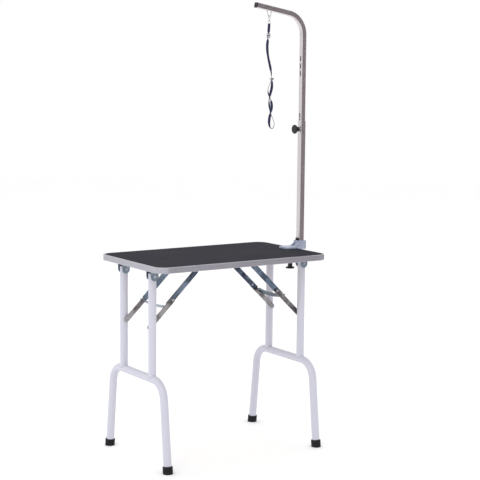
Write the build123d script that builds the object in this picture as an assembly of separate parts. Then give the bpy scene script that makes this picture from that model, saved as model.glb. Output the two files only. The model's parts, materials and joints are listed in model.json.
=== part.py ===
from build123d import *
from math import atan2, cos, degrees, pi, radians, sin, sqrt, tan
import os

# Folding grooming table with a clamp-on post, sliding arm and hanging noose.
# Millimetres. X runs along the table, Y across it, Z up from the floor.
# The work below is laid out about the middle of the table top. Everything is
# shifted along X when it is saved, so that the origin is the middle of the
# whole object's footprint.

# ---------------------------------------------------------------- table top
table_length = 810.0
table_width = 490.0
table_height = 810.0
corner_radius = 50.0
trim_height = 23.0
trim_wall = 3.0
trim_lip = 4.0
trim_lip_thickness = 1.4
mat_thickness = 3.0
board_thickness = 18.0

# --------------------------------------------------------------- leg frames
hinge_x = 360.0
hinge_z = 760.0
upright_y = 115.0
tube_radius = 16.0
tube_wall = 1.5
tube_top_rise = 12.0
crossbar_z = 351.0
hoop_bend_radius = 76.0
leg_y_top = 199.5
leg_y_floor = 237.5
foot_radius = 20.0
foot_height = 27.0

# ------------------------------------------------------------ hinge brackets
cheek_thickness = 2.5
cheek_gap = 0.6
bracket_half_width = 17.0
plate_thickness = 2.5
hinge_pin_radius = 4.0
running_clearance = 0.05

# -------------------------------------------------------------------- braces
left_table_reach = 216.0
left_leg_reach = 206.0
right_table_reach = 226.0
right_leg_reach = 214.0
arm_half_depth = 10.0
arm_stop_gap = 0.35
lower_arm_inner_y = 91.0
lower_arm_outer_y = 95.5
flange_inner_y = 88.5
flange_outer_y = 90.5
web_outer_y = 96.0
web_thickness = 2.0
upper_arm_tail = 28.0
bar_from_knee = 42.0
lug_inner_y = 85.0
lug_outer_y = 88.0
rivet_radius = 3.0

# ------------------------------------------------------ clamp, post and arm
post_x = 435.0
post_width = 25.0
post_wall = 1.5
post_foot_z = 814.0
post_top_z = 1347.0
slide_width = 21.6
slide_wall = 1.3
slide_foot_z = 1222.0
bend_radius = 90.0
arm_slope = 9.6
arm_tip_x = 195.0
arm_corner_z = 1785.2
clamp_screw_x = 385.0
clamp_screw_radius = 5.0
knob_radius = 19.0
knob_hub_radius = 10.0
post_knob_z = 1315.0

# --------------------------------------------------------- eye, hook, noose
eye_x = 260.0
eye_wire_radius = 2.0
eye_bottom_z = 1781.0
eye_bend_radius = 6.0
eye_half_angle = 17.0
hook_wire_radius = 1.8
hook_loop_radius = 5.0
swivel_ring_z = 1756.6
swivel_ring_radius = 6.5
swivel_wire_radius = 1.4
strap_diameter = 5.0

# Route of the noose strap's centre line, from the swivel ring down to the
# noose lock, round the loop and back up into the lock.
strap_route = [
    (260, 0, 1750),
    (258.5, 0, 1722),
    (255, 0, 1690),
    (250.5, 0, 1655),
    (257, 0, 1614),
    (267.5, 0, 1578),
    (275, -1, 1545),
    (270, -4, 1516),
    (257, -5, 1494),
    (253.5, -5, 1470),
    (266, -5, 1447),
    (276, -5, 1421),
    (272.5, -5, 1394),
    (264.5, -5, 1369),
    (262, -4, 1344),
    (270, -1, 1323),
    (288, 2, 1319),
    (296.5, 4, 1338),
    (289, 5, 1361),
    (275, 5, 1384),
    (269.5, 5, 1410),
    (267, 5, 1437),
    (273, 5, 1462),
    (281, 5, 1486),
    (281.5, 4, 1508),
    (278.5, 3, 1527),
]

arm_dir = (-cos(radians(arm_slope)), sin(radians(arm_slope)))
clamp_outer_x = post_x + 26.5
shift_x = -(clamp_outer_x - table_length / 2) / 2


def save(name, shape):
    os.makedirs("parts", exist_ok=True)
    placed = Pos(shift_x, 0, 0) * shape
    placed.label = name
    export_step(placed, "parts/" + name + ".step")


def block(x0, x1, y0, y1, z0, z1):
    """Box between two opposite corners, given in either order."""
    size = Box(abs(x1 - x0), abs(y1 - y0), abs(z1 - z0))
    return Pos((x0 + x1) / 2, (y0 + y1) / 2, (z0 + z1) / 2) * size


def rod_y(radius, x, z, y0, y1):
    """Cylinder lying along Y between y0 and y1."""
    length = abs(y1 - y0)
    return Pos(x, (y0 + y1) / 2, z) * Rot(90, 0, 0) * Cylinder(radius, length)


def rod_x(radius, y, z, x0, x1):
    """Cylinder lying along X between x0 and x1."""
    length = abs(x1 - x0)
    return Pos((x0 + x1) / 2, y, z) * Rot(0, 90, 0) * Cylinder(radius, length)


def rod_z(radius, x, y, z0, z1):
    """Upright cylinder between z0 and z1."""
    return Pos(x, y, (z0 + z1) / 2) * Cylinder(radius, abs(z1 - z0))


def group(solids):
    """Separate like pieces kept together in one node."""
    return Compound(children=[s for one in solids for s in one.solids()])


def both_sides(make):
    """The near and the far copy of a piece that stands at a signed Y side."""
    return group([make(-1), make(1)])


# ---------------------------------------------------------------- table top
def rounded_plate(length, width, radius, z0, z1):
    outline = RectangleRounded(length, width, radius)
    return Pos(0, 0, z0) * extrude(outline, z1 - z0)


def table_board():
    """Board that fills the trim's channel."""
    margin = 2 * trim_wall
    low = table_height - trim_height + trim_lip_thickness
    return rounded_plate(table_length - margin, table_width - margin,
                         corner_radius - trim_wall, low, low + board_thickness)


def rubber_mat():
    """Non-slip mat, held at its edge by the trim's upper lip."""
    margin = 2 * (trim_wall + trim_lip)
    low = table_height - trim_height + trim_lip_thickness + board_thickness
    return rounded_plate(table_length - margin, table_width - margin,
                         corner_radius - trim_wall - trim_lip, low, low + mat_thickness)


def edge_trim():
    """Aluminium channel round the board, with two shallow grooves outside."""
    low = table_height - trim_height
    outer = rounded_plate(table_length, table_width, corner_radius, low, table_height)
    outer = fillet(outer.edges().filter_by(GeomType.CIRCLE), 1.2)
    outer = outer if outer.is_valid else rounded_plate(
        table_length, table_width, corner_radius, low, table_height)
    wall = 2 * trim_wall
    hollow = rounded_plate(table_length - wall, table_width - wall, corner_radius - trim_wall,
                           low + trim_lip_thickness, low + trim_lip_thickness + board_thickness)
    lip = 2 * (trim_wall + trim_lip)
    window = rounded_plate(table_length - lip, table_width - lip,
                           corner_radius - trim_wall - trim_lip, low - 1, table_height + 1)
    ring = outer - hollow - window
    for z in (low + 6.5, low + 15.0):
        skin = rounded_plate(table_length + 2, table_width + 2, corner_radius + 1, z, z + 1.6)
        core = rounded_plate(table_length - 1.4, table_width - 1.4, corner_radius - 0.7,
                             z - 1, z + 3)
        ring = ring - (skin - core)
    return ring


# --------------------------------------------------------------- leg frames
def leg_path():
    """Centre line of the hoop, in the YZ plane through the frame."""
    side = [(-leg_y_floor, 6.0), (-leg_y_top, crossbar_z)]
    points = side + [(leg_y_top, crossbar_z), (leg_y_floor, 6.0)]
    return Plane.YZ * FilletPolyline(points, radius=hoop_bend_radius)


def foot_frame(side):
    """Location at the foot of one lower leg, with its Z along the leg."""
    lean = degrees(atan2(leg_y_floor - leg_y_top, crossbar_z - 6.0))
    return Pos(0, side * leg_y_floor, 6.0) * Rot(side * lean, 0, 0)


def hoop(x):
    """Crossbar and both lower legs, bent from one tube."""
    path = leg_path()
    start = Plane(path @ 0, z_dir=path % 0)
    outer = sweep(start * Circle(tube_radius), path)
    inner = sweep(start * Circle(tube_radius - tube_wall), path)
    return Pos(x, 0, 0) * (outer - inner)


def uprights(x):
    """Upper tubes, coped onto the crossbar and drilled for the hinge pins."""
    def one(side):
        y = side * upright_y
        top = hinge_z + tube_top_rise
        tube = rod_z(tube_radius, x, y, crossbar_z, top)
        tube = tube - rod_z(tube_radius - tube_wall, x, y, crossbar_z - 1, top + 1)
        tube = tube - rod_y(tube_radius, x, crossbar_z, y - 30, y + 30)
        hole = hinge_pin_radius + running_clearance
        return tube - rod_y(hole, x, hinge_z, y - 30, y + 30)
    return both_sides(one)


def tube_plugs(x):
    """Plastic plugs in the open tops of the upper tubes, above the pin."""
    def one(side):
        y = side * upright_y
        top = hinge_z + tube_top_rise
        stem = rod_z(tube_radius - tube_wall, x, y, hinge_z + 6.0, top)
        return stem + rod_z(tube_radius - 0.4, x, y, top, top + 2.0)
    return both_sides(one)


def foot_caps(x):
    """Rubber feet over the tube ends, flat where they stand."""
    def one(side):
        body = Pos(0, 0, 6.0) * Cylinder(foot_radius, 34.0)
        body = fillet(body.edges().group_by(Axis.Z)[-1], 3.0)
        bore = Pos(0, 0, 20.0) * Cylinder(tube_radius, 40.0)
        cap = Pos(x, 0, 0) * foot_frame(side) * (body - bore)
        return cap & block(x - 60, x + 60, -400, 400, 0, 60)
    return both_sides(one)


def pivot_bosses(x, reach):
    """Leg half of each brace's lower pivot: a round pad on the tube."""
    z = hinge_z - reach

    def one(side):
        boss = rod_y(6.0, x, z, side * (lower_arm_outer_y + 0.4), side * (upright_y - 8))
        return boss - rod_z(tube_radius, x, side * upright_y, z - 20, z + 20)
    return both_sides(one)


# ------------------------------------------------------------ hinge brackets
def cheek(x, y0, y1):
    """One cheek plate, round below the pin."""
    top = table_height - trim_height
    plate = block(x - bracket_half_width, x + bracket_half_width, y0, y1, hinge_z, top)
    plate = plate + rod_y(bracket_half_width, x, hinge_z, y0, y1)
    return plate


def hinge_brackets(x):
    """U brackets under the board, one over the top of each upper tube."""
    top = table_height - trim_height

    def one(side):
        near = upright_y - tube_radius - cheek_gap
        far = upright_y + tube_radius + cheek_gap
        inner = cheek(x, side * (near - cheek_thickness), side * near)
        outer = cheek(x, side * far, side * (far + cheek_thickness))
        y0 = side * (near - cheek_thickness)
        y1 = side * (far + cheek_thickness)
        plate = block(x - bracket_half_width, x + bracket_half_width,
                      min(y0, y1), max(y0, y1), top - plate_thickness, top)
        ears = block(x - 9, x + 9, min(y0, y1) - 14, max(y0, y1) + 14, top - plate_thickness, top)
        body = inner + outer + plate + ears
        for y in (y0 - side * 7, y1 + side * 7):
            body = body - rod_z(2.2, x, y, top - 10, top + 10)
        return body - rod_y(hinge_pin_radius, x, hinge_z, side * 80, side * 150)
    return both_sides(one)


def hinge_pins(x):
    """Headed pins that the leg tubes turn on."""
    near = upright_y - tube_radius - cheek_gap - cheek_thickness
    far = upright_y + tube_radius + cheek_gap + cheek_thickness

    def one(side):
        pin = rod_y(hinge_pin_radius, x, hinge_z, side * (near - 1.0), side * (far + 1.0))
        pin = pin + rod_y(6.5, x, hinge_z, side * (near - 2.0), side * near)
        return pin + rod_y(6.5, x, hinge_z, side * far, side * (far + 2.0))
    return both_sides(one)


def bracket_screws():
    """Screws that hold every bracket and lug to the board."""
    top = table_height - trim_height
    near = upright_y - tube_radius - cheek_gap - cheek_thickness
    far = upright_y + tube_radius + cheek_gap + cheek_thickness
    screws = []
    spots = []
    for x in (-hinge_x, hinge_x):
        for side in (-1, 1):
            spots.append((x, side * (near - 7)))
            spots.append((x, side * (far + 7)))
    for x in (-hinge_x + left_table_reach, hinge_x - right_table_reach):
        for side in (-1, 1):
            spots.append((x, side * 70.0))
    for x, y in spots:
        shaft = rod_z(2.1, x, y, top - 2.5, top + trim_lip_thickness)
        screws.append(shaft + rod_z(4.2, x, y, top - 4.6, top - 2.5))
    return group(screws)


# -------------------------------------------------------------------- braces
class Brace:
    """Sizes of one folding brace: its hinge, pivots, knee and direction."""

    def __init__(self, x, inward, table_reach, leg_reach):
        self.table_x = x + inward * table_reach
        self.leg_z = hinge_z - leg_reach
        self.x = x
        span = sqrt(table_reach ** 2 + leg_reach ** 2)
        self.upper = (span + table_reach - leg_reach) / 2
        self.lower = span - self.upper
        self.dx = (x - self.table_x) / span
        self.dz = -leg_reach / span
        self.knee_x = self.table_x + self.dx * self.upper
        self.knee_z = hinge_z + self.dz * self.upper
        self.turn = degrees(atan2(-self.dz, self.dx))
        self.flip = 1 if self.dx > 0 else -1

    def place(self, x, z):
        """Local X runs down the arm, local Z towards the leg's hinge."""
        down = Vector(self.dx, 0, self.dz)
        across = Vector(0, 1, 0) if self.dx > 0 else Vector(0, -1, 0)
        return Plane(origin=(x, 0, z), x_dir=down, z_dir=down.cross(across)).location


def bar(length, y0, y1, hole):
    """Flat bar with round ends, from a pivot at 0 to a pivot at length."""
    low = min(y0, y1)
    high = max(y0, y1)
    body = block(0, length, low, high, -arm_half_depth, arm_half_depth)
    body = body + rod_y(arm_half_depth, 0, 0, low, high)
    body = body + rod_y(arm_half_depth, length, 0, low, high)
    body = body - rod_y(hole, 0, 0, low - 1, high + 1)
    return body - rod_y(rivet_radius, length, 0, low - 1, high + 1)


def lower_arms(brace):
    def one(side):
        hole = rivet_radius + running_clearance
        return bar(brace.lower, side * lower_arm_inner_y, side * lower_arm_outer_y, hole)
    return brace.place(brace.knee_x, brace.knee_z) * both_sides(one)


def upper_arms(brace):
    """Angle arms: a flange beside the lower arm, and a web that it stops on."""
    web_low = arm_half_depth + arm_stop_gap
    end = brace.upper + upper_arm_tail

    def one(side):
        y0 = min(side * flange_inner_y, side * flange_outer_y)
        y1 = max(side * flange_inner_y, side * flange_outer_y)
        body = block(0, end, y0, y1, -arm_half_depth, web_low + web_thickness)
        body = body + rod_y(arm_half_depth, 0, 0, y0, y1)
        w0 = min(side * flange_inner_y, side * web_outer_y)
        w1 = max(side * flange_inner_y, side * web_outer_y)
        body = body + block(14, end, w0, w1, web_low, web_low + web_thickness)
        body = body - rod_y(rivet_radius + running_clearance, 0, 0, y0 - 1, y1 + 1)
        return body - rod_y(rivet_radius, brace.upper, 0, y0 - 1, y1 + 1)
    return brace.place(brace.table_x, hinge_z) * both_sides(one)


def knee_rivets(brace):
    """Rivets that join the two arms, headed on both sides."""
    def one(side):
        shaft = rod_y(rivet_radius, 0, 0, side * (flange_inner_y - 1), side * 96.8)
        inner = rod_y(5.0, 0, 0, side * (flange_inner_y - 1.6), side * flange_inner_y)
        outer = rod_y(5.0, 0, 0, side * 95.9, side * 97.4)
        return shaft + inner + outer
    return brace.place(brace.knee_x, brace.knee_z) * both_sides(one)


def arm_rivets(brace):
    """Arm half of the lower pivots: rivets set flush in the lower arms, so
    that the upper arms can fold flat against them."""
    def one(side):
        return rod_y(rivet_radius, brace.lower, 0, side * lower_arm_inner_y,
                     side * lower_arm_outer_y)
    return brace.place(brace.knee_x, brace.knee_z) * both_sides(one)


def release_bar(brace):
    """Curved blade between the lower arms, lifted to fold the legs."""
    edge = arm_half_depth
    clear = arm_half_depth + 2.3
    top = arm_half_depth + 5.5
    with BuildSketch(Plane.YZ) as outline:
        with BuildLine():
            Polyline((-87, clear), (-90.7, clear), (-90.7, edge), (-95.5, edge), (-95.5, top))
            Polyline((-95.5, top), (-86, top))
            ThreePointArc((-86, top), (0, 7), (86, top))
            Polyline((86, top), (95.5, top), (95.5, edge), (90.7, edge), (90.7, clear))
            Polyline((90.7, clear), (87, clear), (87, -1))
            ThreePointArc((87, -1), (0, -10), (-87, -1))
            Line((-87, -1), (-87, clear))
        make_face()
    plate = extrude(outline.sketch, 1.3, both=True)
    return brace.place(brace.knee_x, brace.knee_z) * (Pos(bar_from_knee, 0, 0) * plate)


def brace_lugs(brace):
    """Lugs under the board that carry the upper arms."""
    top = table_height - trim_height
    x = brace.table_x

    def one(side):
        y0 = min(side * lug_inner_y, side * lug_outer_y)
        y1 = max(side * lug_inner_y, side * lug_outer_y)
        ear = block(x - 10, x + 10, y0, y1, hinge_z, top)
        ear = ear + rod_y(10.0, x, hinge_z, y0, y1)
        b0 = min(side * 58.0, side * lug_outer_y)
        b1 = max(side * 58.0, side * lug_outer_y)
        base = block(x - 14, x + 14, b0, b1, top - plate_thickness, top)
        body = ear + base - rod_z(2.2, x, side * 70.0, top - 10, top + 10)
        return body - rod_y(rivet_radius, x, hinge_z, y0 - 1, y1 + 1)
    return both_sides(one)


def lug_pins(brace):
    x = brace.table_x

    def one(side):
        pin = rod_y(rivet_radius, x, hinge_z, side * 84.0, side * flange_outer_y)
        return pin + rod_y(5.0, x, hinge_z, side * 83.2, side * lug_inner_y)
    return both_sides(one)


# --------------------------------------------------------- clamp and its knob
def clamp_body():
    """Cast C clamp: foot plate, gusset, post socket, back and lower jaw."""
    top = table_height
    plate = Pos(383, 0, top) * extrude(RectangleRounded(76, 64, 9), 7.0)
    plate = chamfer(plate.edges().group_by(Axis.Z)[-1], 1.5)
    with BuildSketch(Plane.XZ) as side_view:
        Polygon((388, top + 5), (402, top + 11), (416, top + 22), (430, top + 22), (430, top + 5),
                align=None)
    rib = extrude(side_view.sketch, 4.0, both=True)
    ribs = Pos(0, -16, 0) * rib + Pos(0, 16, 0) * rib
    socket = Pos(post_x, 0, top - 6) * extrude(RectangleRounded(42, 42, 7), 36.0)
    socket = fillet(socket.edges().group_by(Axis.Z)[-1], 2.0)
    bulge = rod_x(9.0, 0, top + 16, post_x + 15, clamp_outer_x)
    back = block(406.5, 421, -20, 20, 748, top + 2)
    jaw = block(368, 421, -20, 20, 749, 763)
    nose = rod_z(14.0, clamp_screw_x, 0, 749, 765)
    body = plate + ribs + socket + bulge + back + jaw + nose
    room = post_width + 0.1
    seat = Pos(post_x, 0, post_foot_z) * extrude(RectangleRounded(room, room, 3.0), 60)
    thread = rod_z(clamp_screw_radius + running_clearance, clamp_screw_x, 0, 740, 770)
    screw_hole = rod_y(3.0, 424.0, top + 21, -30, -post_width / 2)
    return body - seat - thread - screw_hole


def set_screw():
    """Grub screw in the socket's near wall, against the post."""
    body = rod_y(3.0, 424.0, table_height + 21, -21.8, -12.6)
    return body - rod_y(1.4, 424.0, table_height + 21, -23, -19)


def clamp_pad():
    """Swivelling pressure pad under the board."""
    top = table_height - trim_height + trim_lip_thickness - 0.3
    body = rod_z(13.0, clamp_screw_x, 0, top - 5.5, top)
    body = fillet(body.edges().group_by(Axis.Z)[-1], 0.8)
    return body - rod_z(3.05, clamp_screw_x, 0, top - 7, top - 2.5)


def clamp_screw():
    pad_bottom = table_height - trim_height + trim_lip_thickness - 5.8
    shaft = rod_z(clamp_screw_radius, clamp_screw_x, 0, 735, pad_bottom - 0.3)
    return shaft + rod_z(3.0, clamp_screw_x, 0, pad_bottom - 1, pad_bottom + 2.6)


def knob(screw_radius):
    """Round knob: a thick disc with a hub. Hub face at 0, disc below it."""
    hub = Pos(0, 0, -8) * Cylinder(knob_hub_radius, 16)
    disc = Pos(0, 0, -19.5) * Cylinder(knob_radius, 7)
    disc = fillet(disc.edges(), 2.6)
    body = hub + disc
    body = body - Pos(0, 0, -6) * Cylinder(screw_radius, 14)
    return body


def clamp_knob():
    return Pos(clamp_screw_x, 0, 745) * knob(clamp_screw_radius)


# ---------------------------------------------------------------------- post
def square_tube(width, wall, corner, z0, z1):
    outer = Pos(0, 0, z0) * extrude(RectangleRounded(width, width, corner), z1 - z0)
    hole = width - 2 * wall
    inner = Pos(0, 0, z0 - 1) * extrude(RectangleRounded(hole, hole, corner - wall), z1 - z0 + 2)
    return outer - inner


def post_tube():
    """Lower square tube, tapped through a boss for the locking screw."""
    tube = Pos(post_x, 0, 0) * square_tube(post_width, post_wall, 3.0, post_foot_z, post_top_z)
    return tube - rod_x(3.05, 0, post_knob_z, post_x - 20, post_x)


def post_boss():
    """Weld nut on the post for the locking screw."""
    face = post_x - post_width / 2
    body = rod_x(8.0, 0, post_knob_z, face - 4.0, face)
    return body - rod_x(3.05, 0, post_knob_z, face - 6, face + 2)


def post_wedge():
    """Plastic wedge that stands on the socket against the post's inner face."""
    low = table_height + 30.0
    face = post_x - post_width / 2
    body = block(face - 4.0, face, -10.0, 10.0, low, low + 11.5)
    return chamfer(body.edges().group_by(Axis.Z)[-1].filter_by(Axis.Y).sort_by(Axis.X)[0], 2.5)


def post_bush():
    """Plated ring on the top of the post that the arm slides in."""
    outer_width = post_width - 2 * post_wall
    inner_width = slide_width + 0.1
    ring = Pos(post_x, 0, post_top_z) * extrude(RectangleRounded(post_width, post_width, 3), 2.0)
    hole = RectangleRounded(inner_width, inner_width, min(2.5, outer_width))
    return ring - Pos(post_x, 0, post_top_z - 5) * extrude(hole, 12)


def post_knob():
    face = post_x - post_width / 2 - 4.5
    return Pos(face, 0, post_knob_z) * Rot(0, 90, 0) * knob(rivet_radius)


def post_knob_screw():
    tip = post_x - slide_width / 2 - 0.3
    return rod_x(rivet_radius, 0, post_knob_z, post_x - post_width / 2 - 14, tip)


# ----------------------------------------------------------------------- arm
def arm_path(start_z):
    """Centre line of the sliding tube: up, round the bend and out."""
    run = (post_x - arm_tip_x) / cos(radians(arm_slope))
    end = (arm_dir[0] * run, arm_corner_z + arm_dir[1] * run)
    points = [(0, start_z), (0, arm_corner_z), end]
    path = FilletPolyline(points, radius=bend_radius)
    return Pos(post_x, 0, 0) * (Plane.XZ * path)


def arm_solid(width, corner, start_z):
    path = arm_path(start_z)
    start = Plane(path @ 0, x_dir=(1, 0, 0), z_dir=(0, 0, 1))
    return sweep(start * RectangleRounded(width, width, corner), path)


def arm_tube():
    """Upper square tube, bent over the table, with its row of slots."""
    outer = arm_solid(slide_width, 2.5, slide_foot_z)
    hole = slide_width - 2 * slide_wall
    inner = arm_solid(hole, 1.2, slide_foot_z - 0.0)
    tube = outer - inner
    face = post_x - slide_width / 2
    for z in (1611.5, 1580.5, 1549.5, 1372.0):
        slot = Pos(face, 0, z) * Rot(0, 90, 0) * extrude(SlotOverall(22, 7), 5, both=True)
        tube = tube - slot
    return tube - rod_x(3.6, 0, 1355.5, face - 3, face + 3)


def arm_cap():
    """Push-in plastic cap on the arm's tip."""
    path = arm_path(slide_foot_z)
    tip = Plane(path @ 1, x_dir=(0, 1, 0), z_dir=path % 1)
    head = extrude(tip * RectangleRounded(slide_width - 0.4, slide_width - 0.4, 3.0), 3.0)
    inside = slide_width - 2 * slide_wall
    stem = extrude(tip * RectangleRounded(inside, inside, 1.2), -12.0)
    return head + stem


def arm_eye():
    """Wire eye welded under the arm, wide above and narrow below."""
    rise = (post_x - eye_x) * tan(radians(arm_slope))
    under = arm_corner_z + rise - slide_width / 2 / cos(radians(arm_slope))
    spread = radians(eye_half_angle)
    vertex = eye_bottom_z + eye_bend_radius * (1 - 1 / sin(spread))
    half = (under + 5 - vertex) * tan(spread)
    points = [(eye_x - half, under + 5), (eye_x, vertex), (eye_x + half, under + 5)]
    path = Plane.XZ * FilletPolyline(*points, radius=eye_bend_radius)
    start = Plane(path @ 0, z_dir=path % 0)
    wire = sweep(start * Circle(eye_wire_radius), path)
    wire = wire - arm_solid(slide_width, 2.5, slide_foot_z)
    return max(wire.solids(), key=lambda s: s.volume)


# -------------------------------------------------------------- hook, swivel
def hook_top():
    return eye_bottom_z + eye_wire_radius + 0.3 + hook_wire_radius


def hook_body():
    """Snap hook: a loop with a gap for the gate, and a barrel below it."""
    top = hook_top()
    low = top - 16.0
    r = hook_loop_radius
    with BuildLine(Plane.YZ) as ring:
        CenterArc((0, top - r), r, 0, 180)
        Line((-r, top - r), (-r, low + r))
        CenterArc((0, low + r), r, 180, 180)
        Line((r, low + r), (r, top - r))
    path = ring.wire()
    start = Plane(path @ 0, z_dir=path % 0)
    loop = sweep(start * Circle(hook_wire_radius), path)
    gap = block(-4, 4, -r - 4, -r + 3.0, top - 9.2, top - 3.2)
    barrel = rod_z(4.0, 0, 0, low - 4.2, low + 1.0)
    body = loop - gap + barrel
    body = body - rod_z(1.55, 0, 0, low - 8, low - 2)
    body = body - rod_z(2.5, 0, 0, low - 3.4, low - 0.9)
    return Pos(eye_x, 0, 0) * body


def hook_gate():
    """Spring gate that closes the hook's gap."""
    top = hook_top()
    body = rod_z(1.4, 0, -hook_loop_radius, top - 8.9, top - 3.5)
    return Pos(eye_x, 0, 0) * fillet(body.edges(), 0.5)


def swivel_ring():
    """Ring that carries the strap, turning on a headed stem in the barrel."""
    low = hook_top() - 16.0
    ring = Pos(0, 0, swivel_ring_z) * Rot(90, 0, 0) * Torus(swivel_ring_radius, swivel_wire_radius)
    stem = rod_z(1.5, 0, 0, swivel_ring_z + swivel_ring_radius, low - 2.0)
    head = rod_z(2.3, 0, 0, low - 3.1, low - 1.2)
    return Pos(eye_x, 0, 0) * (ring + stem + head)


# --------------------------------------------------------------------- noose
def route_radii(points):
    """Arc at each point: 0.45 of its shorter run over the tan of half the turn."""
    radii = []
    for before, here, after in zip(points, points[1:], points[2:]):
        a = Vector(*here) - Vector(*before)
        b = Vector(*after) - Vector(*here)
        half = radians(a.get_angle(b)) / 2
        radii.append(0.45 * min(a.length, b.length) / tan(half))
    return radii


def noose_strap():
    """Limp strap as a plain tube of the webbing's section area."""
    radii = route_radii(strap_route)
    print("strap radii", [round(r, 1) for r in radii])
    path = FilletPolyline(*strap_route, radius=radii)
    start = Plane(path @ 0, z_dir=path % 0)
    tube = sweep(start * Circle(strap_diameter / 2), path)
    expected = pi * strap_diameter ** 2 / 4 * path.length
    print("strap length", round(path.length, 1), "volume", round(tube.volume), round(expected))
    return tube


def strap_slider():
    """Metal slide on the single part of the strap, with a middle bar."""
    body = extrude(Plane.XZ * RectangleRounded(17, 20, 3), 1.4, both=True)
    for z in (-5.2, 5.2):
        body = body - Pos(0, 0, z) * block(-5.8, 5.8, -5, 5, -3, 3)
    return Pos(257, 0, 1703) * body


def noose_lock():
    """Slide that holds both strands of the loop."""
    body = Box(15, 12.4, 8)
    body = fillet(body.edges().filter_by(Axis.Z), 2.5)
    return Pos(275.5, -0.5, 1526) * body


def main():
    left = Brace(-hinge_x, 1, left_table_reach, left_leg_reach)
    right = Brace(hinge_x, -1, right_table_reach, right_leg_reach)
    save("table_board", table_board())
    save("rubber_mat", rubber_mat())
    save("edge_trim", edge_trim())
    save("bracket_screws", bracket_screws())
    for side, x, brace, reach in (("left", -hinge_x, left, left_leg_reach),
                                  ("right", hinge_x, right, right_leg_reach)):
        save(side + "_hinge_brackets", hinge_brackets(x))
        save(side + "_hinge_pins", hinge_pins(x))
        save(side + "_uprights", uprights(x))
        save(side + "_hoop", hoop(x))
        save(side + "_tube_plugs", tube_plugs(x))
        save(side + "_foot_caps", foot_caps(x))
        save(side + "_pivot_bosses", pivot_bosses(x, reach))
        save(side + "_brace_lugs", brace_lugs(brace))
        save(side + "_lug_pins", lug_pins(brace))
        save(side + "_upper_arms", upper_arms(brace))
        save(side + "_knee_rivets", knee_rivets(brace))
        save(side + "_lower_arms", lower_arms(brace))
        save(side + "_arm_rivets", arm_rivets(brace))
        save(side + "_release_bar", release_bar(brace))
        print(side, "knee", round(brace.knee_x, 2), round(brace.knee_z, 2),
              "upper", round(brace.upper, 2), "lower", round(brace.lower, 2))
    save("clamp_body", clamp_body())
    save("set_screw", set_screw())
    save("clamp_pad", clamp_pad())
    save("clamp_screw", clamp_screw())
    save("clamp_knob", clamp_knob())
    save("post_wedge", post_wedge())
    save("post_tube", post_tube())
    save("post_bush", post_bush())
    save("post_boss", post_boss())
    save("post_knob", post_knob())
    save("post_knob_screw", post_knob_screw())
    save("arm_tube", arm_tube())
    save("arm_cap", arm_cap())
    save("arm_eye", arm_eye())
    save("hook_body", hook_body())
    save("hook_gate", hook_gate())
    save("swivel_ring", swivel_ring())
    save("noose_strap", noose_strap())
    save("strap_slider", strap_slider())
    save("noose_lock", noose_lock())
    print("shift along X", round(shift_x, 3))


main()
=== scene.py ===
import json
import math
import random

import bmesh
import bpy
from bpy.props import FloatProperty, FloatVectorProperty, IntProperty, PointerProperty
from mathutils import Matrix, Vector


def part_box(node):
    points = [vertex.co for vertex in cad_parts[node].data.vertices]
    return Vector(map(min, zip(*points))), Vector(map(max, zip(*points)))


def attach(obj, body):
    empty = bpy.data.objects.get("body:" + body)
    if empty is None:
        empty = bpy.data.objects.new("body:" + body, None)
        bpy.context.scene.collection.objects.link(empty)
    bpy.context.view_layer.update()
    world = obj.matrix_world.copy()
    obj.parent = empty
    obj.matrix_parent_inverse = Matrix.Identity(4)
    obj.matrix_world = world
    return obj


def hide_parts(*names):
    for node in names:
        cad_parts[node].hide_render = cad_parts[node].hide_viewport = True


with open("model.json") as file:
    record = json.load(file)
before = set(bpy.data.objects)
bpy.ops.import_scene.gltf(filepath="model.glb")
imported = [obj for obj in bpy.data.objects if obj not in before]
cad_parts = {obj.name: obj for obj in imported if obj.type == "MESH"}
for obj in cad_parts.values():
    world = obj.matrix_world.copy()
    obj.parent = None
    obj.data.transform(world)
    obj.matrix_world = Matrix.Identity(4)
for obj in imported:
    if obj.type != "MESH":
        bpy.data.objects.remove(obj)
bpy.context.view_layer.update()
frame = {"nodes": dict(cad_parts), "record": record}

bl_info = {
    "name": "Grooming Table",
    "version": (1, 0, 0),
    "blender": (4, 5, 0),
    "location": "View3D > Sidebar > Grooming Table",
    "description": "Finishes, noose strap, weld beads and studio for a folding grooming table",
    "category": "Object",
}

MM = 0.001

# The table's middle lies a little to one side of the origin along X.
TRIM_LOW, TRIM_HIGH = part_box("edge_trim")
TABLE_X = (TRIM_LOW.x + TRIM_HIGH.x) / 2

# Width of the sliding square tube, and the height of the bead on it.
SLIDE_WIDTH = 21.6 * MM
ARM_BEAD_Z = 1.709

# Route of the strap's centre line, in metres about the table's middle.
STRAP_ROUTE = [
    (0.260, 0.000, 1.750), (0.2585, 0.000, 1.722), (0.255, 0.000, 1.690),
    (0.2505, 0.000, 1.655), (0.257, 0.000, 1.614), (0.2675, 0.000, 1.578),
    (0.275, -0.001, 1.545), (0.270, -0.004, 1.516), (0.257, -0.005, 1.494),
    (0.2535, -0.005, 1.470), (0.266, -0.005, 1.447), (0.276, -0.005, 1.421),
    (0.2725, -0.005, 1.394), (0.2645, -0.005, 1.369), (0.262, -0.004, 1.344),
    (0.270, -0.001, 1.323), (0.288, 0.002, 1.319), (0.2965, 0.004, 1.338),
    (0.289, 0.005, 1.361), (0.275, 0.005, 1.384), (0.2695, 0.005, 1.410),
    (0.267, 0.005, 1.437), (0.273, 0.005, 1.462), (0.281, 0.005, 1.486),
    (0.2815, 0.004, 1.508), (0.2785, 0.003, 1.527),
]

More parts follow.
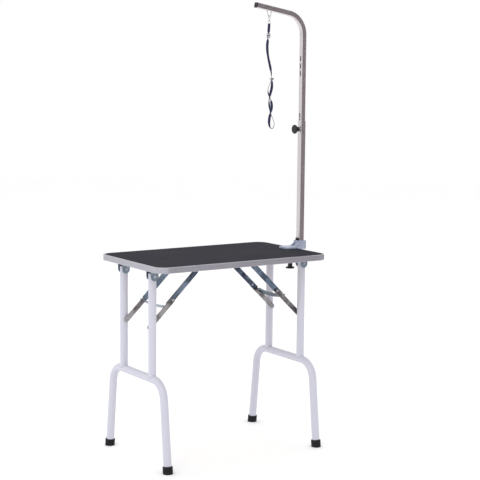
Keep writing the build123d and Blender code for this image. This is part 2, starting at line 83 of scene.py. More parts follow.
# Where the strap's width points, in degrees turned from X towards -Y, at
# shares of the strap's length.
STRAP_TURNS = [
    (0.00, 34), (0.04, 30), (0.06, -45), (0.085, -45), (0.11, 30), (0.15, 38),
    (0.19, 0), (0.27, 10), (0.30, -30), (0.33, -54), (0.36, -58), (0.41, -52),
    (0.44, -30), (0.475, -48), (0.50, 15), (0.53, 36), (0.56, -25), (0.585, 30),
    (0.61, 34), (0.635, -5), (0.66, -45), (0.70, -60), (0.76, -52), (0.80, -40),
    (0.83, -15), (0.87, -45), (0.905, 10), (0.94, 34), (0.965, 5), (1.00, -50),
]

# Screens that only the plated pieces reflect: name, place, width and height.
SCREENS = [
    ("near_screen", (2.6, -3.4, 1.5), 5.2, 5.0),
    ("far_screen", (5.0, 0.5, 1.4), 4.0, 3.0),
]

# Soft lights: name, place, target, size, and share of the main light's power.
LIGHTS = [
    ("key_light", (-3.2, -2.2, 4.6), (0.0, 0.0, 0.9), 3.0, 1.0),
    ("top_light", (0.8, 1.6, 4.8), (0.0, 0.0, 0.6), 2.6, 0.6),
    ("side_light", (-4.5, 2.5, 2.2), (0.2, 0.0, 0.9), 2.4, 0.45),
]

FLOOR_RADIUS = 14.0
# The floor lies this far under the feet, so that they don't share a plane.
FLOOR_GAP = 0.5 * MM
SENSOR_WIDTH = 36.0

# Shortest and longest strap that the noose can have, in metres.
STRAP_LIMITS = (0.5, 0.9)

# Section of the webbing: share of half the width, share of half the
# thickness, and how far across the weave.
WEBBING_SECTION = [
    (-1.0, 0.0, 0.0), (-0.9, 0.85, 0.05), (-0.45, 1.0, 0.275), (0.0, 1.0, 0.5),
    (0.45, 1.0, 0.725), (0.9, 0.85, 0.95), (1.0, 0.0, 1.0), (0.9, -0.85, 0.95),
    (0.45, -1.0, 0.725), (0.0, -1.0, 0.5), (-0.45, -1.0, 0.275), (-0.9, -0.85, 0.05),
]

# The turn of webbing over the swivel ring. TURN_MID and TURN_END are half the
# gap between its two layers, and how far below the ring's wire that is.
RING_WIRE_RADIUS = 1.4 * MM
TURN_RADIUS = 2.6 * MM
TURN_MID = (2.0 * MM, 9 * MM)
TURN_END = (1.2 * MM, 20 * MM)
TURN_STEPS = 8
TURN_WIDTH_SHARE, TURN_THICKNESS_SHARE = 0.86, 0.9

# Stitches through the turn, in rows below the ring's wire on both sides. The
# row pitch, first row, stand and closing are in millimetres; the closing is
# how much nearer the middle a stitch stands for each millimetre down.
STITCH_ROWS, STITCH_COLUMNS = 3, 4
STITCH_PITCH = 2.2 * MM
STITCH_ROW_PITCH = 4
STITCH_FIRST_ROW = 8
STITCH_STAND, STITCH_CLOSING = 2.9, 0.09
STITCH_LENGTH, STITCH_RADIUS = 1.7 * MM, 0.28 * MM

# Weave of the webbing: ribs across its width, and picks along each metre.
WEAVE_RIBS, WEAVE_PICKS = 9.0, 3600.0

# Weld beads. The steps run along a bead and round its section; the ripple is
# a share of the section's radius, and the unevenness is a random share of it.
JOINT_BEAD_STEPS, JOINT_BEAD_AROUND = 96, 8
JOINT_BEAD_UNEVENNESS = 0.08
JOINT_BEAD_LIFT = 0.12
ARM_BEAD_STEPS, ARM_BEAD_AROUND = 24, 10
ARM_BEAD_UNEVENNESS = 0.06
ARM_BEAD_SPAN = 0.8
ARM_BEAD_SWELL = 1.35
ARM_BEAD_END = 0.03
BEAD_RIPPLE = 0.12

# Parts whose node names have these endings get their own copy of the zinc plate.
# The dark blue copy paints shade and a dark reflection into the upper arms. The warm copy
# paints a brown-grey reflection into the lower arms and is also used on the pivot bosses.
# The bright copy paints a highlight into the knee rivets and hinge pins.
ZINC_PAINTED_LIGHT = {"upper_arms": "zinc_painted_shade", "lower_arms": "zinc_painted_reflection", "knee_rivets": "zinc_painted_highlight",
              "hinge_pins": "zinc_painted_highlight", "pivot_bosses": "zinc_painted_reflection"}


class StrapSettings(bpy.types.PropertyGroup):
    """Sizes and colours of the noose strap"""
    width: FloatProperty(name="Width", description="Width of the webbing",
                         default=0.011, min=0.004, max=0.03, unit="LENGTH")
    thickness: FloatProperty(name="Thickness", description="Thickness of the webbing",
                             default=0.0018, min=0.0005, max=0.005, unit="LENGTH")
    length: FloatProperty(name="Length", description="Length of the strap along its middle",
                          default=0.66, min=0.1, max=3.0, unit="LENGTH")
    color: FloatVectorProperty(name="Colour", description="Colour of the webbing",
                               default=(0.007, 0.008, 0.060), min=0, max=1, size=3, subtype="COLOR")
    thread: FloatVectorProperty(name="Thread", description="Colour of the sewing thread",
                                default=(0.06, 0.07, 0.22), min=0, max=1, size=3, subtype="COLOR")


class FinishSettings(bpy.types.PropertyGroup):
    """Colours of the table's finishes"""
    paint: FloatVectorProperty(name="Leg paint", description="Powder coat on the leg tubes",
                               default=(0.57, 0.57, 0.66), min=0, max=1, size=3, subtype="COLOR")
    mat: FloatVectorProperty(name="Mat", description="Rubber mat on the table top",
                             default=(0.018, 0.018, 0.026), min=0, max=1, size=3, subtype="COLOR")
    trim: FloatVectorProperty(name="Trim", description="Aluminium edge trim",
                              default=(0.44, 0.43, 0.48), min=0, max=1, size=3, subtype="COLOR")
    zinc: FloatVectorProperty(name="Zinc", description="Zinc plate on brackets and braces",
                              default=(0.30, 0.37, 0.45), min=0, max=1, size=3, subtype="COLOR")
    post: FloatVectorProperty(name="Post", description="Bright plate on the post and arm",
                              default=(0.63, 0.59, 0.605), min=0, max=1, size=3, subtype="COLOR")
    casting: FloatVectorProperty(name="Clamp", description="Paint on the cast clamp",
                                 default=(0.38, 0.42, 0.53), min=0, max=1, size=3, subtype="COLOR")


class StageSettings(bpy.types.PropertyGroup):
    """Camera, light and floor"""
    lens: FloatProperty(name="Lens", description="Focal length of the camera",
                        default=99.12, min=20, max=300, unit="CAMERA")
    camera_place: FloatVectorProperty(name="Camera place", description="Where the camera stands",
                                      default=(-2.93524, -4.53297, 1.55145), size=3,
                                      subtype="TRANSLATION", unit="LENGTH")
    yaw: FloatProperty(name="Yaw", description="Turn of the camera from straight across",
                       default=math.radians(33.7843), subtype="ANGLE")
    pitch: FloatProperty(name="Pitch", description="Tilt of the camera above level",
                         default=math.radians(-7.2293), subtype="ANGLE")
    roll: FloatProperty(name="Roll", description="Roll of the camera about its own axis",
                        default=math.radians(0.564), subtype="ANGLE")
    sky: FloatProperty(name="Sky", description="Strength of the even white surroundings",
                       default=1.0, min=0, max=5)
    key: FloatProperty(name="Key", description="Power of the main soft light",
                       default=45.0, min=0, max=2000, subtype="POWER")


class WeldSettings(bpy.types.PropertyGroup):
    """Sizes of the weld beads on the leg frames"""
    radius: FloatProperty(name="Bead radius", description="Radius of a bead's section",
                          default=0.0022, min=0.0005, max=0.006, unit="LENGTH")
    seed: IntProperty(name="Seed", description="Number that fixes the beads' unevenness", default=7)


# ------------------------------------------------------------------ shading
def add_node(tree, kind, place, **values):
    """Node at a place in its tree, with its options set."""
    node = tree.nodes.new(kind)
    node.location = place
    for name, value in values.items():
        setattr(node, name, value)
    return node


def new_group(name, inputs, outputs):
    """Shader group with named sockets; each input is (name, type, default)."""
    group = bpy.data.node_groups.new(name, "ShaderNodeTree")
    for label, kind, default in inputs:
        socket = group.interface.new_socket(name=label, in_out="INPUT", socket_type=kind)
        socket.default_value = default
    for label, kind in outputs:
        group.interface.new_socket(name=label, in_out="OUTPUT", socket_type=kind)
    start = add_node(group, "NodeGroupInput", (-900, 0))
    end = add_node(group, "NodeGroupOutput", (700, 0))
    return group, start, end


def mottle_group():
    """Cloudy change of colour and roughness, with a height for bump."""
    found = bpy.data.node_groups.get("Mottle")
    if found:
        return found
    group, start, end = new_group(
        "Mottle",
        [("Color", "NodeSocketColor", (0.5, 0.5, 0.5, 1)),
         ("Second Color", "NodeSocketColor", (0.4, 0.4, 0.4, 1)),
         ("Roughness", "NodeSocketFloat", 0.4), ("Roughness Spread", "NodeSocketFloat", 0.1),
         ("Scale", "NodeSocketFloat", 40.0), ("Contrast", "NodeSocketFloat", 0.3)],
        [("Color", "NodeSocketColor"), ("Roughness", "NodeSocketFloat"),
         ("Height", "NodeSocketFloat")])
    link = group.links.new
    coords = add_node(group, "ShaderNodeTexCoord", (-900, 300))
    noise = add_node(group, "ShaderNodeTexNoise", (-650, 200))
    noise.inputs["Detail"].default_value = 5.0
    noise.inputs["Roughness"].default_value = 0.6
    link(coords.outputs["Object"], noise.inputs["Vector"])
    link(start.outputs["Scale"], noise.inputs["Scale"])
    low = add_node(group, "ShaderNodeMath", (-650, -150), operation="SUBTRACT")
    low.inputs[0].default_value = 0.5
    high = add_node(group, "ShaderNodeMath", (-650, -320), operation="ADD")
    high.inputs[0].default_value = 0.5
    link(start.outputs["Contrast"], low.inputs[1])
    link(start.outputs["Contrast"], high.inputs[1])
    spread = add_node(group, "ShaderNodeMapRange", (-420, 100))
    link(noise.outputs["Fac"], spread.inputs["Value"])
    link(low.outputs[0], spread.inputs["From Min"])
    link(high.outputs[0], spread.inputs["From Max"])
    mix = add_node(group, "ShaderNodeMix", (-150, 200), data_type="RGBA")
    link(spread.outputs["Result"], mix.inputs["Factor"])
    link(start.outputs["Second Color"], mix.inputs["A"])
    link(start.outputs["Color"], mix.inputs["B"])
    centred = add_node(group, "ShaderNodeMath", (-150, -50), operation="SUBTRACT")
    link(spread.outputs["Result"], centred.inputs[0])
    centred.inputs[1].default_value = 0.5
    rough = add_node(group, "ShaderNodeMath", (80, -50), operation="MULTIPLY_ADD", use_clamp=True)
    link(centred.outputs[0], rough.inputs[0])
    link(start.outputs["Roughness Spread"], rough.inputs[1])
    link(start.outputs["Roughness"], rough.inputs[2])
    link(mix.outputs["Result"], end.inputs["Color"])
    link(rough.outputs[0], end.inputs["Roughness"])
    link(noise.outputs["Fac"], end.inputs["Height"])
    return group


def streak_group():
    """Fine drawn lines, long along the axis whose scale is small."""
    found = bpy.data.node_groups.get("Streaks")
    if found:
        return found
    group, start, end = new_group(
        "Streaks",
        [("Color", "NodeSocketColor", (0.5, 0.5, 0.5, 1)), ("Stretch", "NodeSocketVector", (1, 1, 1)),
         ("Strength", "NodeSocketFloat", 0.15), ("Roughness", "NodeSocketFloat", 0.3),
         ("Roughness Spread", "NodeSocketFloat", 0.1)],
        [("Color", "NodeSocketColor"), ("Roughness", "NodeSocketFloat"),
         ("Height", "NodeSocketFloat")])
    link = group.links.new
    coords = add_node(group, "ShaderNodeTexCoord", (-900, 300))
    scaled = add_node(group, "ShaderNodeVectorMath", (-700, 300), operation="MULTIPLY")
    link(coords.outputs["Object"], scaled.inputs[0])
    link(start.outputs["Stretch"], scaled.inputs[1])
    noise = add_node(group, "ShaderNodeTexNoise", (-500, 250))
    noise.inputs["Scale"].default_value = 1.0
    noise.inputs["Detail"].default_value = 3.0
    link(scaled.outputs[0], noise.inputs["Vector"])
    centred = add_node(group, "ShaderNodeMath", (-280, 100), operation="SUBTRACT")
    link(noise.outputs["Fac"], centred.inputs[0])
    centred.inputs[1].default_value = 0.5
    shade = add_node(group, "ShaderNodeMath", (-80, 100), operation="MULTIPLY_ADD")
    link(centred.outputs[0], shade.inputs[0])
    link(start.outputs["Strength"], shade.inputs[1])
    shade.inputs[2].default_value = 1.0
    tint = add_node(group, "ShaderNodeVectorMath", (130, 200), operation="SCALE")
    link(start.outputs["Color"], tint.inputs[0])
    link(shade.outputs[0], tint.inputs["Scale"])
    rough = add_node(group, "ShaderNodeMath", (130, -50), operation="MULTIPLY_ADD", use_clamp=True)
    link(centred.outputs[0], rough.inputs[0])
    link(start.outputs["Roughness Spread"], rough.inputs[1])
    link(start.outputs["Roughness"], rough.inputs[2])
    link(tint.outputs[0], end.inputs["Color"])
    link(rough.outputs[0], end.inputs["Roughness"])
    link(noise.outputs["Fac"], end.inputs["Height"])
    return group


def rgba(color):
    """Colour with full alpha."""
    return (color[0], color[1], color[2], 1.0)


def shaded(color, factor):
    """Colour made darker or lighter by a factor."""
    return tuple(min(1.0, part * factor) for part in color)


def base_material(name, metallic):
    """Empty material with one Principled shader."""
    material = bpy.data.materials.new(name)
    material.use_nodes = True
    tree = material.node_tree
    tree.nodes.clear()
    output = add_node(tree, "ShaderNodeOutputMaterial", (600, 0))
    shader = add_node(tree, "ShaderNodeBsdfPrincipled", (300, 0))
    shader.inputs["Metallic"].default_value = metallic
    tree.links.new(shader.outputs["BSDF"], output.inputs["Surface"])
    return material, tree, shader


def add_bump(tree, shader, height, strength, distance):
    """Relief of the given depth in metres, from a height socket."""
    bump = add_node(tree, "ShaderNodeBump", (80, -300))
    bump.inputs["Strength"].default_value = strength
    bump.inputs["Distance"].default_value = distance
    tree.links.new(height, bump.inputs["Height"])
    tree.links.new(bump.outputs["Normal"], shader.inputs["Normal"])


def mottled(name, color, second, roughness, spread, scale, contrast, metallic=0.0,
            bump=0.0, distance=0.0005, coat=0.0, specular=0.5):
    """Material whose colour and roughness drift in soft clouds."""
    material, tree, shader = base_material(name, metallic)
    group = add_node(tree, "ShaderNodeGroup", (-100, 0), node_tree=mottle_group())
    group.inputs["Color"].default_value = rgba(color)
    group.inputs["Second Color"].default_value = rgba(second)
    group.inputs["Roughness"].default_value = roughness
    group.inputs["Roughness Spread"].default_value = spread
    group.inputs["Scale"].default_value = scale
    group.inputs["Contrast"].default_value = contrast
    tree.links.new(group.outputs["Color"], shader.inputs["Base Color"])
    tree.links.new(group.outputs["Roughness"], shader.inputs["Roughness"])
    shader.inputs["Specular IOR Level"].default_value = specular
    shader.inputs["Coat Weight"].default_value = coat
    shader.inputs["Coat Roughness"].default_value = 0.15
    if bump:
        add_bump(tree, shader, group.outputs["Height"], bump, distance)
    return material


def streaked(name, color, stretch, strength, roughness, spread, metallic=1.0, bump=0.05):
    """Material with fine drawn lines, for extrusions and plated tubes."""
    material, tree, shader = base_material(name, metallic)
    group = add_node(tree, "ShaderNodeGroup", (-100, 0), node_tree=streak_group())
    group.inputs["Color"].default_value = rgba(color)
    group.inputs["Stretch"].default_value = stretch
    group.inputs["Strength"].default_value = strength
    group.inputs["Roughness"].default_value = roughness
    group.inputs["Roughness Spread"].default_value = spread
    tree.links.new(group.outputs["Color"], shader.inputs["Base Color"])
    tree.links.new(group.outputs["Roughness"], shader.inputs["Roughness"])
    add_bump(tree, shader, group.outputs["Height"], bump, 0.0002)
    return material


def rubber_mat_material(color):
    """Charcoal rubber with a fine pebbled face and faint dusty wear."""
    material, tree, shader = base_material("rubber_mat", 0.0)
    group = add_node(tree, "ShaderNodeGroup", (-200, 100), node_tree=mottle_group())
    group.inputs["Color"].default_value = rgba(shaded(color, 1.12))
    group.inputs["Second Color"].default_value = rgba(shaded(color, 0.88))
    group.inputs["Roughness"].default_value = 0.80
    group.inputs["Roughness Spread"].default_value = 0.12
    group.inputs["Scale"].default_value = 9.0
    group.inputs["Contrast"].default_value = 0.25
    tree.links.new(group.outputs["Color"], shader.inputs["Base Color"])
    tree.links.new(group.outputs["Roughness"], shader.inputs["Roughness"])
    shader.inputs["Specular IOR Level"].default_value = 0.10
    coords = add_node(tree, "ShaderNodeTexCoord", (-600, -300))
    pebbles = add_node(tree, "ShaderNodeTexVoronoi", (-350, -300))
    pebbles.inputs["Scale"].default_value = 420.0
    tree.links.new(coords.outputs["Object"], pebbles.inputs["Vector"])
    add_bump(tree, shader, pebbles.outputs["Distance"], 0.55, 0.0006)
    return material


def webbing_material(color):
    """Woven webbing: ribs along the strap and picks across it."""
    material, tree, shader = base_material("webbing", 0.0)
    coords = add_node(tree, "ShaderNodeUVMap", (-900, 0))
    split = add_node(tree, "ShaderNodeSeparateXYZ", (-700, 0))
    tree.links.new(coords.outputs["UV"], split.inputs["Vector"])
    waves = []
    for axis, count, place in (("X", WEAVE_RIBS, 120), ("Y", WEAVE_PICKS, -80)):
        scaled = add_node(tree, "ShaderNodeMath", (-500, place), operation="MULTIPLY")
        scaled.inputs[1].default_value = count * math.pi
        wave = add_node(tree, "ShaderNodeMath", (-320, place), operation="SINE")
        tree.links.new(split.outputs[axis], scaled.inputs[0])
        tree.links.new(scaled.outputs[0], wave.inputs[0])
        waves.append(wave)
    weave = add_node(tree, "ShaderNodeMath", (-140, 20), operation="MULTIPLY")
    tree.links.new(waves[0].outputs[0], weave.inputs[0])
    tree.links.new(waves[1].outputs[0], weave.inputs[1])
    spread = add_node(tree, "ShaderNodeMapRange", (20, 60))
    spread.inputs["From Min"].default_value = -1.0
    tree.links.new(weave.outputs[0], spread.inputs["Value"])
    mix = add_node(tree, "ShaderNodeMix", (180, 200), data_type="RGBA")
    mix.inputs["A"].default_value = rgba(shaded(color, 0.6))
    mix.inputs["B"].default_value = rgba(shaded(color, 1.35))
    tree.links.new(spread.outputs["Result"], mix.inputs["Factor"])
    tree.links.new(mix.outputs["Result"], shader.inputs["Base Color"])
    shader.inputs["Roughness"].default_value = 0.62
    shader.inputs["Sheen Weight"].default_value = 0.08
    add_bump(tree, shader, weave.outputs[0], 0.5, 0.0003)
    return material


# Filled by the Finishes operator, read by the pieces made after it.
FINISHES = {}


def finish_table(settings, strap):
    """Material for each of the record's slots."""
    s = settings
    return {
        "board": mottled("board_birch", (0.46, 0.36, 0.25), (0.36, 0.27, 0.18),
                         0.6, 0.1, 14, 0.2, bump=0.1),
        "mat": rubber_mat_material(s.mat),
        "trim": streaked("trim_aluminium", s.trim, (3, 3, 900), 0.14, 0.33, 0.14, 0.85),
        "zinc": mottled("zinc_plate", s.zinc, shaded(s.zinc, 0.62),
                        0.34, 0.16, 46, 0.16, metallic=0.95, bump=0.06),
        # The next three are copies of the zinc plate with painted light in their colour: painted
        # shade and dark reflection (blue), painted brown-grey reflection (warm), and painted
        # highlight (bright).
        "zinc_painted_shade": mottled("zinc_plate_painted_shade", (0.24, 0.31, 0.41), (0.04, 0.055, 0.09),
                             0.28, 0.16, 16, 0.12, metallic=0.95, bump=0.06),
        "zinc_painted_reflection": mottled("zinc_plate_painted_reflection", (0.44, 0.42, 0.44), (0.13, 0.115, 0.115),
                             0.32, 0.16, 18, 0.12, metallic=0.9, bump=0.06),
        "zinc_painted_highlight": mottled("zinc_plate_painted_highlight", (0.52, 0.58, 0.66), (0.34, 0.38, 0.44),
                               0.26, 0.12, 60, 0.2, metallic=1.0, bump=0.05),
        "white_paint": mottled("powder_coat", s.paint, shaded(s.paint, 0.965),
                               0.36, 0.06, 700, 0.3, bump=0.09, distance=0.0002, coat=0.15),
        "foot_rubber": mottled("foot_rubber", (0.010, 0.010, 0.013), (0.016, 0.016, 0.019),
                               0.62, 0.14, 70, 0.25, bump=0.15, specular=0.16),
        "black_plastic": mottled("black_plastic", (0.006, 0.006, 0.008), (0.010, 0.010, 0.012),
                                 0.30, 0.10, 380, 0.3, bump=0.08, distance=0.0002, specular=0.3),
        "clamp_paint": mottled("cast_paint", s.casting, shaded(s.casting, 0.86),
                               0.46, 0.14, 150, 0.22, metallic=0.15, bump=0.45, distance=0.0012),
        "plated_steel": streaked("plated_steel", (0.55, 0.55, 0.57), (200, 200, 1200),
                                 0.2, 0.3, 0.12),
        "chrome": streaked("bright_plate", s.post, (260, 260, 4), 0.12, 0.14, 0.08, 1.0, 0.02),
        "bright_wire": mottled("bright_wire", (0.72, 0.72, 0.74), (0.55, 0.55, 0.57),
                               0.2, 0.12, 300, 0.25, metallic=1.0),
        "webbing": webbing_material(strap.color),
    }


def finish_for(name):
    """Finish that the Finishes operator has already made."""
    if name not in FINISHES:
        raise RuntimeError("the finishes are made first")
    return FINISHES[name]


# -------------------------------------------------------------------- pieces
def route_points(name, points):
    """Points along the smooth NURBS line that has these control points."""
    data = bpy.data.curves.new(name, "CURVE")
    data.dimensions = "3D"
    spline = data.splines.new("NURBS")
    spline.points.add(len(points) - 1)
    for point, (x, y, z) in zip(spline.points, points):
        point.co = (x + TABLE_X, y, z, 1.0)
    spline.order_u = 3
    spline.use_endpoint_u = True
    spline.resolution_u = 12
    line = bpy.data.objects.new(name, data)
    bpy.context.scene.collection.objects.link(line)
    bpy.context.view_layer.update()
    mesh = bpy.data.meshes.new_from_object(line)
    path = [vertex.co.copy() for vertex in mesh.vertices]
    bpy.data.objects.remove(line)
    bpy.data.meshes.remove(mesh)
    return path


def turn_at(share, table):
    """Smoothly interpolated value of a table of (share, value)."""
    for (a, first), (b, second) in zip(table, table[1:]):
        if share <= b:
            t = (share - a) / (b - a)
            t = t * t * (3 - 2 * t)
            return first + (second - first) * t
    return table[-1][1]


def new_piece(name, bm, material, body):
    """Object from mesh code, finished and riding on its body."""
    mesh = bpy.data.meshes.new(name)
    bm.to_mesh(mesh)
    bm.free()
    mesh.shade_smooth()
    obj = bpy.data.objects.new(name, mesh)
    bpy.context.scene.collection.objects.link(obj)
    mesh.materials.append(material)
    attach(obj, body)
    return obj


def ribbon(bm, path, width, thickness, turns, uv):
    """Flat webbing with round edges along a path, its width turned as told."""
    total = sum((b - a).length for a, b in zip(path, path[1:]))
    half_w, half_t = width / 2, thickness / 2
    section = [(u * half_w, v * half_t, across) for u, v, across in WEBBING_SECTION]
    rings = []
    along = 0.0
    for index, point in enumerate(path):
        if index:
            along += (point - path[index - 1]).length
        ahead = path[min(index + 1, len(path) - 1)] - path[max(index - 1, 0)]
        tangent = ahead.normalized()
        angle = math.radians(turn_at(along / total, turns))
        wish = Vector((math.cos(angle), -math.sin(angle), 0.0))
        side = (wish - tangent * wish.dot(tangent)).normalized()
        normal = tangent.cross(side)
        ring = [bm.verts.new(point + side * a + normal * b) for a, b, _ in section]
        rings.append((ring, along))
    count = len(section)
    for (first, at), (second, next_at) in zip(rings, rings[1:]):
        for k in range(count):
            n = (k + 1) % count
            face = bm.faces.new((first[k], first[n], second[n], second[k]))
            across = (section[k][2], section[n][2], section[n][2], section[k][2])
            for loop, u, v in zip(face.loops, across, (at, at, next_at, next_at)):
                loop[uv].uv = (u, v)
    bm.faces.new(reversed(rings[0][0]))
    bm.faces.new(rings[-1][0])
    return total


def stitch(bm, centre, direction, length, radius):
    """One thread stitch: a low, round-ended bar lying on the webbing."""
    matrix = Matrix.Translation(centre) @ direction.to_track_quat("Z", "Y").to_matrix().to_4x4()
    made = bmesh.ops.create_uvsphere(bm, u_segments=8, v_segments=6, radius=1.0)
    squeeze = Matrix.Diagonal((radius, radius, length / 2, 1.0))
    bmesh.ops.transform(bm, matrix=matrix @ squeeze, verts=made["verts"])


class GT_OT_finishes(bpy.types.Operator):
    """Make every finish and put it on the CAD nodes"""
    bl_idname = "grooming_table.finishes"
    bl_label = "Finishes"

    def execute(self, context):
        scene = context.scene
        table = finish_table(scene.gt_finish, scene.gt_strap)
        FINISHES.clear()
        FINISHES.update(table)
        for part in frame["record"]["subparts"]:
            node = frame["nodes"][part["node"]]
            look = part["material_slot"]
            # Some zinc parts take a copy of the plate that has painted shade, painted reflection and
            # painted highlight in its colour.
            for ending, other in ZINC_PAINTED_LIGHT.items():
                if part["node"].endswith(ending):
                    look = other
            node.data.materials.clear()
            node.data.materials.append(table[look])
        return {"FINISHED"}


class GT_OT_noose_strap(bpy.types.Operator):
    """Build the webbing of the noose along its hanging route"""
    bl_idname = "grooming_table.noose_strap"
    bl_label = "Noose strap"

    def execute(self, context):
        s = context.scene.gt_strap
        path = route_points("strap_line", STRAP_ROUTE)
        bm = bmesh.new()
        uv = bm.loops.layers.uv.new("weave")
        total = ribbon(bm, path, s.width, s.thickness, STRAP_TURNS, uv)
        shortest, longest = STRAP_LIMITS
        if not shortest < total < longest:
            raise RuntimeError("the strap's route has the wrong length")
        strap = new_piece("noose_webbing", bm, finish_for("webbing"), "noose")
        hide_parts("noose_strap")
        return {"FINISHED"}


class GT_OT_strap_wrap(bpy.types.Operator):
    """Build the sewn turn of webbing over the swivel ring"""
    bl_idname = "grooming_table.strap_wrap"
    bl_label = "Sewn turn"

    def execute(self, context):
        s = context.scene.gt_strap
        low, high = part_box("swivel_ring")
        middle = (low.x + high.x) / 2
        wire = low.z + RING_WIRE_RADIUS
        mid_gap, mid_drop = TURN_MID
        end_gap, end_drop = TURN_END
        turn = [(middle, -end_gap, wire - end_drop), (middle, -mid_gap, wire - mid_drop),
                (middle, -TURN_RADIUS, wire)]
        for step in range(1, TURN_STEPS):
            angle = math.pi * step / TURN_STEPS
            turn.append((middle, -TURN_RADIUS * math.cos(angle),
                         wire + TURN_RADIUS * math.sin(angle)))
        turn += [(middle, TURN_RADIUS, wire), (middle, mid_gap, wire - mid_drop),
                 (middle, end_gap, wire - end_drop)]
        path = [Vector(p) for p in turn]
        bm = bmesh.new()
        uv = bm.loops.layers.uv.new("weave")
        ribbon(bm, path, s.width * TURN_WIDTH_SHARE, s.thickness * TURN_THICKNESS_SHARE,
               [(0.0, 0), (1.0, 0)], uv)
        new_piece("strap_turn", bm, finish_for("webbing"), "noose")
        thread = mottled("thread", s.thread, shaded(s.thread, 0.7), 0.7, 0.1, 900, 0.3)
        bm = bmesh.new()
        for side in (-1, 1):
            for row in range(STITCH_ROWS):
                for column in range(STITCH_COLUMNS):
                    down = STITCH_ROW_PITCH * row
                    x = middle + (column - (STITCH_COLUMNS - 1) / 2) * STITCH_PITCH
                    z = wire - (STITCH_FIRST_ROW + down) * MM
                    stand = STITCH_STAND - STITCH_CLOSING * down
                    spot = Vector((x, side * stand * MM, z))
                    stitch(bm, spot, Vector((1, 0, 0)), STITCH_LENGTH, STITCH_RADIUS)
        new_piece("strap_stitches", bm, thread, "noose")
        return {"FINISHED"}


class GT_OT_weld_beads(bpy.types.Operator):
    """Build a weld bead round the foot of every upper leg tube"""
    bl_idname = "grooming_table.weld_beads"
    bl_label = "Weld beads"

    def execute(self, context):
        s = context.scene.gt_weld
        rng = random.Random(s.seed)
        for side in ("left", "right"):
            low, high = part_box(side + "_uprights")
            _, hoop_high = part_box(side + "_hoop")
            radius = (high.x - low.x) / 2
            x = (low.x + high.x) / 2
            bar_z = hoop_high.z - radius
            bm = bmesh.new()
            for y in (low.y + radius, high.y - radius):
                self.bead(bm, rng, Vector((x, y, bar_z)), radius, s.radius)
            new_piece(side + "_weld_beads", bm, finish_for("white_paint"), side + "_legs")
        return {"FINISHED"}

    def bead(self, bm, rng, centre, tube, size):
        """Rippled bead along the saddle where two equal tubes meet."""
        steps, around = JOINT_BEAD_STEPS, JOINT_BEAD_AROUND
        rings = []
        for k in range(steps):
            a = 2 * math.pi * k / steps
            saddle = tube * abs(math.sin(a))
            out = Vector((math.cos(a), math.sin(a), 0.0))
            height = math.sqrt(saddle ** 2 + (JOINT_BEAD_LIFT * tube) ** 2)
            point = centre + out * tube + Vector((0, 0, height))
            ripple = 1.0 + BEAD_RIPPLE * math.sin(k * 2.1)
            ripple += rng.uniform(-JOINT_BEAD_UNEVENNESS, JOINT_BEAD_UNEVENNESS)
            ring = []
            for j in range(around):
                b = 2 * math.pi * j / around
                offset = out * math.cos(b) + Vector((0, 0, 1)) * math.sin(b)
                ring.append(bm.verts.new(point + offset * size * ripple))
            rings.append(ring)
        for k in range(steps):
            first, second = rings[k], rings[(k + 1) % steps]
            for j in range(around):
                n = (j + 1) % around
                bm.faces.new((first[j], second[j], second[n], first[n]))


class GT_OT_arm_bead(bpy.types.Operator):
    """Build the weld bead on the inner side of the arm, below its bend"""
    bl_idname = "grooming_table.arm_bead"
    bl_label = "Arm bead"

    def execute(self, context):
        s = context.scene.gt_weld
        rng = random.Random(s.seed + 1)
        _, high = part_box("arm_tube")
        face = high.x - SLIDE_WIDTH
        bm = bmesh.new()
        steps, around = ARM_BEAD_STEPS, ARM_BEAD_AROUND
        rings = []
        for k in range(steps + 1):
            share = k / steps
            y = (share - 0.5) * SLIDE_WIDTH * ARM_BEAD_SPAN
            inside = min(max(share, ARM_BEAD_END), 1 - ARM_BEAD_END)
            swell = s.radius * ARM_BEAD_SWELL * math.sin(math.pi * inside) ** 0.4
            uneven = rng.uniform(-ARM_BEAD_UNEVENNESS, ARM_BEAD_UNEVENNESS)
            swell *= 1.0 + BEAD_RIPPLE * math.sin(k * 1.9) + uneven
            ring = []
            for j in range(around):
                b = 2 * math.pi * j / around
                ring.append(bm.verts.new((face + 0.9 * swell * math.cos(b), y,
                                          ARM_BEAD_Z + 1.5 * swell * math.sin(b))))
            rings.append(ring)
        for first, second in zip(rings, rings[1:]):
            for j in range(around):
                n = (j + 1) % around
                bm.faces.new((first[j], first[n], second[n], second[j]))
        bm.faces.new(reversed(rings[0]))
        bm.faces.new(rings[-1])
        bmesh.ops.recalc_face_normals(bm, faces=bm.faces)
        new_piece("arm_weld_bead", bm, finish_for("plated_steel"), "arm")
        return {"FINISHED"}


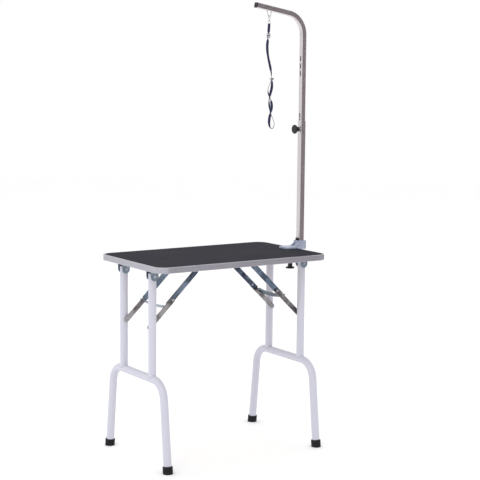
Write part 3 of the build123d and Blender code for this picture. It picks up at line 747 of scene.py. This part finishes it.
class GT_OT_stage(bpy.types.Operator):
    """Set the camera, the soft light and the pale floor"""
    bl_idname = "grooming_table.stage"
    bl_label = "Stage"

    def execute(self, context):
        s = context.scene.gt_stage
        self.camera(context, s)
        for name, place, target, size, share in LIGHTS:
            self.light(context, name, place, target, size, s.key * share)
        self.floor(context)
        self.screens(context)
        world = bpy.data.worlds.new("surroundings")
        world.use_nodes = True
        background = world.node_tree.nodes["Background"]
        background.inputs["Color"].default_value = (1.0, 1.0, 1.0, 1.0)
        background.inputs["Strength"].default_value = s.sky
        context.scene.world = world
        context.scene.view_settings.view_transform = "Standard"
        return {"FINISHED"}

    def camera(self, context, s):
        """Camera from its place, yaw, pitch and roll."""
        data = bpy.data.cameras.new("camera")
        data.sensor_width = SENSOR_WIDTH
        data.lens = s.lens
        camera = bpy.data.objects.new("camera", data)
        flat = math.cos(s.pitch)
        ahead = Vector((math.sin(s.yaw) * flat, math.cos(s.yaw) * flat, math.sin(s.pitch)))
        right = Vector((math.cos(s.yaw), -math.sin(s.yaw), 0.0))
        up = right.cross(ahead)
        turned_right = right * math.cos(s.roll) + up * math.sin(s.roll)
        turned_up = up * math.cos(s.roll) - right * math.sin(s.roll)
        matrix = Matrix((turned_right, turned_up, -ahead)).transposed().to_4x4()
        matrix.translation = Vector(s.camera_place)
        camera.matrix_world = matrix
        context.scene.collection.objects.link(camera)
        context.scene.camera = camera

    def light(self, context, name, place, target, size, power):
        """Round soft light aimed at a point."""
        data = bpy.data.lights.new(name, "AREA")
        data.shape = "DISK"
        data.size = size
        data.energy = power
        lamp = bpy.data.objects.new(name, data)
        lamp.location = place
        aim = Vector(target) - Vector(place)
        lamp.rotation_euler = aim.to_track_quat("-Z", "Y").to_euler()
        context.scene.collection.objects.link(lamp)

    def floor(self, context):
        """Wide pale floor just under the feet."""
        bm = bmesh.new()
        bmesh.ops.create_circle(bm, cap_ends=True, segments=96, radius=FLOOR_RADIUS)
        mesh = bpy.data.meshes.new("floor")
        bm.to_mesh(mesh)
        bm.free()
        floor = bpy.data.objects.new("floor", mesh)
        floor.location = (0.0, 0.0, -FLOOR_GAP)
        context.scene.collection.objects.link(floor)
        pale = mottled("pale_floor", (1.0, 1.0, 1.0), (0.985, 0.985, 0.99), 0.9, 0.05, 1.5, 0.3,
                       specular=0.1)
        mesh.materials.append(pale)

    def screens(self, context):
        """Tall brown-grey screens, seen only in the plated pieces."""
        cloth = mottled("screen_cloth", (0.31, 0.28, 0.30), (0.24, 0.215, 0.23), 0.95, 0.05,
                        2.0, 0.3)
        for name, place, wide, tall in SCREENS:
            bm = bmesh.new()
            bmesh.ops.create_grid(bm, x_segments=1, y_segments=1, size=0.5)
            mesh = bpy.data.meshes.new(name)
            bm.to_mesh(mesh)
            bm.free()
            screen = bpy.data.objects.new(name, mesh)
            aim = Vector((TABLE_X, 0.0, place[2])) - Vector(place)
            screen.rotation_euler = aim.to_track_quat("Z", "Y").to_euler()
            screen.scale = (wide, tall, 1.0)
            screen.location = place
            context.scene.collection.objects.link(screen)
            mesh.materials.append(cloth)
            screen.visible_camera = False
            screen.visible_diffuse = False
            screen.visible_shadow = False


class GT_PT_panel(bpy.types.Panel):
    """Sidebar panel that lists the table's pieces and settings"""
    bl_idname = "GT_PT_panel"
    bl_label = "Grooming Table"
    bl_space_type = "VIEW_3D"
    bl_region_type = "UI"
    bl_category = "Grooming Table"

    def draw(self, context):
        scene = context.scene
        for group in (scene.gt_finish, scene.gt_strap, scene.gt_weld, scene.gt_stage):
            box = self.layout.box()
            for name in group.bl_rna.properties.keys():
                if name not in ("rna_type", "name"):
                    box.prop(group, name)
        for operator in OPERATORS:
            self.layout.operator(operator.bl_idname)


OPERATORS = (GT_OT_stage, GT_OT_finishes, GT_OT_noose_strap, GT_OT_strap_wrap, GT_OT_weld_beads,
             GT_OT_arm_bead)
SETTINGS = {"gt_strap": StrapSettings, "gt_finish": FinishSettings, "gt_stage": StageSettings,
            "gt_weld": WeldSettings}


def register():
    for cls in SETTINGS.values():
        bpy.utils.register_class(cls)
    for cls in OPERATORS + (GT_PT_panel,):
        bpy.utils.register_class(cls)
    for name, cls in SETTINGS.items():
        setattr(bpy.types.Scene, name, PointerProperty(type=cls))


def unregister():
    for name in SETTINGS:
        delattr(bpy.types.Scene, name)
    for cls in (GT_PT_panel,) + tuple(reversed(OPERATORS)):
        bpy.utils.unregister_class(cls)
    for cls in SETTINGS.values():
        bpy.utils.unregister_class(cls)


def main():
    register()
    bpy.ops.grooming_table.stage()
    bpy.ops.grooming_table.finishes()
    bpy.ops.grooming_table.noose_strap()
    bpy.ops.grooming_table.strap_wrap()
    bpy.ops.grooming_table.weld_beads()
    bpy.ops.grooming_table.arm_bead()


if __name__ == "__main__":
    main()
